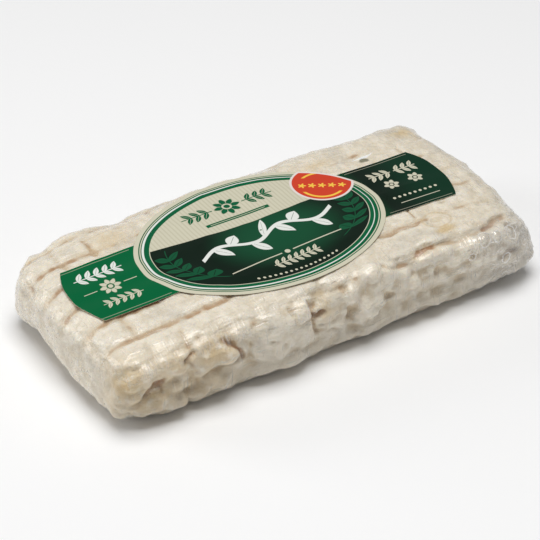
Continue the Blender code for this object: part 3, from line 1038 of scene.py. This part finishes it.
# Rings: a cream border, hairlines and a green ring with a white line that runs through it.
color = under(edge, 0.0).over(color, CREAM)
color = under(edge, -BORDER).over(color, RING_GREEN)
color = under(edge, -HAIRLINE_RING).over(color, CREAM)
color = under(edge, -GREEN_RING).over(color, RING_GREEN)
swung = inside_oval(u + 0.25, v - 0.15, OVAL_LONG - WHITE_RING, OVAL_SHORT - WHITE_RING)
color = (under(abs(swung), 0.24 - u * 0.003) * under(edge, -GREEN_RING - 0.05)).over(color, WHITE)
color = under(edge, -FIELDS).over(color, CREAM)

# Fields: cream with pinstripes above, green turning to near black below.
light_field = (within(off_stop(u, 1.3), 0.24, 0.12) * 0.55).over(CREAM, PINSTRIPE)
p, q = turned(u, v, (-2.0, 16.6), 0)
light_field = rosette(p, q, 4.4, 8).over(light_field, RING_GREEN)
light_field = laurel(abs(p) - 10.6, q, 2.8, 2.0, 55, 5.4, 0.2).over(light_field, RING_GREEN)
ribbon = within(v - 10.0, 0.75) * within(u + 2.0, 11.0)
light_field = (ribbon * (1.0 - within(v - 10.0, 0.12) * within(u + 2.0, 9.6))).over(light_field, RING_GREEN)
glow = ((u - 4.0) * (u - 4.0) / 520.0 + (v + 4.0) * (v + 4.0) / 260.0).rise(1.25, 0.0)
dark_field = glow.over(FIELD_DARK, FIELD_GREEN)
spray = laurel(v + 5.0, edge + 9.4, 3.4, 2.6, 55, 11.0, 0.15) * abs(u).rise(19.0, 21.0)
dark_field = (spray * 0.8).over(dark_field, LEAF_GREEN)
p, q = turned(u, v, (1.0, -2.4), 4)
swing = (p * (math.tau / 22.4)).math("SINE")
garland = leafy_stem(p, q - swing * 2.1, 5.6, 3.7, 56, 24.2, 0.75)
dark_field = garland.over(dark_field, WHITE)
p, q = turned(u, v, (1.0, -13.6), 4)
studded_rule = within(q, 0.22) * within(abs(p) - 11.0, 9.0) | under(from_centre(p, q), 0.9)
dark_field = studded_rule.over(dark_field, CREAM)
p, q = turned(u, v, (2.0, -17.6), 4)
dark_field = laurel(p, q, 2.3, 1.5, 55, 8.3, 0.15).over(dark_field, CREAM)
beads = from_centre(off_stop(u, 1.7), edge + 6.6)
dark_field = (under(beads, 0.42) * within(u, 14.45) * under(v, 0.0)).over(dark_field, CREAM)
split = v - u * u * SPLIT_BOW
field = under(split, SPLIT_HIGH, 0.08).over(light_field, dark_field)
color = under(edge, -FIELDS).over(color, field)
color = (within(edge + FIELDS + 0.1, 0.12) * under(split, SPLIT_HIGH)).over(color, CREAM)

# Flash: a red disc cut off by the oval's edge, with a pale border and yellow ornaments.
p, q = turned(u, v, FLASH_CENTRE, FLASH_TURN)
disc = from_centre(p, q)
color = (under(disc, FLASH_OUTER) * under(edge, 0.0)).over(color, FLASH_EDGE)
flash = under(disc, FLASH_INNER) * under(edge, FLASH_INNER - FLASH_OUTER)
color = flash.over(color, FLASH_RED)
arc = within(from_centre(p, q + 1.0) - 6.9, 0.42) * abs(q + 1.0).rise(3.6, 4.4)
star_p = off_stop(p, STAR_PITCH)
star_q = q + 1.4
points = (star_q.math("ARCTAN2", star_p) * 5.0).math("COSINE")
stars = under(from_centre(star_p, star_q) - points * 0.4, 0.95)
stars = stars * under(abs(nearest_stop(p, STAR_PITCH)), 2.5)
color = (flash * (arc | stars)).over(color, FLASH_YELLOW)

# The paper's cut edges and back are unprinted.
facing = at.node("ShaderNodeNewGeometry", None, None, "Normal").parts()[2]
color = facing.rise(0.5, 0.3).over(color, PAPER_CORE)
fibre = at.grain(0.35, 3.0, 0.7)
tiny = at.grain(2.5, 2.0)
label_shader = at.node(
    "ShaderNodeBsdfPrincipled",
    None,
    {
        "Base Color": color,
        "Roughness": 0.2 + tiny * 0.08,
        "Normal": (fibre + tiny * 2.0).bump(0.015 * MM, 0.5),
        "Specular IOR Level": 0.18,
    },
)
show(label_shader)
paper.materials.append(label_finish)
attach(label, "root")
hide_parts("label")

# The studio: a plain pale floor, a large soft lamp overhead and a little towards the near side, a weaker
# one low beyond the far left corner, and a faint even glow from the room.
FLOOR_SIZE = 6.0
FLOOR_WHITE = 0.93
ROOM_GLOW = 0.19

bm = bmesh.new()
bmesh.ops.create_grid(bm, x_segments=1, y_segments=1, size=FLOOR_SIZE / 2)
floor_mesh = bpy.data.meshes.new("studio_floor")
bm.to_mesh(floor_mesh)
bm.free()
floor = bpy.data.objects.new("studio_floor", floor_mesh)
bpy.context.scene.collection.objects.link(floor)
floor_finish, at = new_finish("pale_floor")
floor_color = (FLOOR_WHITE, FLOOR_WHITE, FLOOR_WHITE, 1.0)
show(at.node("ShaderNodeBsdfPrincipled", None, {"Base Color": floor_color, "Roughness": 0.9}))
floor_mesh.materials.append(floor_finish)


def add_softbox(name, place, size, power):
    """A square lamp that faces the brick."""
    lamp = bpy.data.lights.new(name, "AREA")
    lamp.shape = "SQUARE"
    lamp.size = size
    lamp.energy = power
    box = bpy.data.objects.new(name, lamp)
    bpy.context.scene.collection.objects.link(box)
    aim = Vector(place) - Vector((0, 0, 0.02))
    box.matrix_world = Matrix.Translation(place) @ aim.to_track_quat("Z", "Y").to_matrix().to_4x4()


add_softbox("overhead_softbox", (-0.05, -0.1, 1.0), 0.6, 8.4)
add_softbox("left_softbox", (-0.85, 0.75, 0.4), 0.5, 3.3)
world = bpy.data.worlds.new("studio_room")
world.use_nodes = True
glow = world.node_tree.nodes["Background"]
glow.inputs["Color"].default_value = (1.0, 1.0, 1.0, 1.0)
glow.inputs["Strength"].default_value = ROOM_GLOW
bpy.context.scene.world = world
bpy.context.scene.view_settings.view_transform = "Standard"
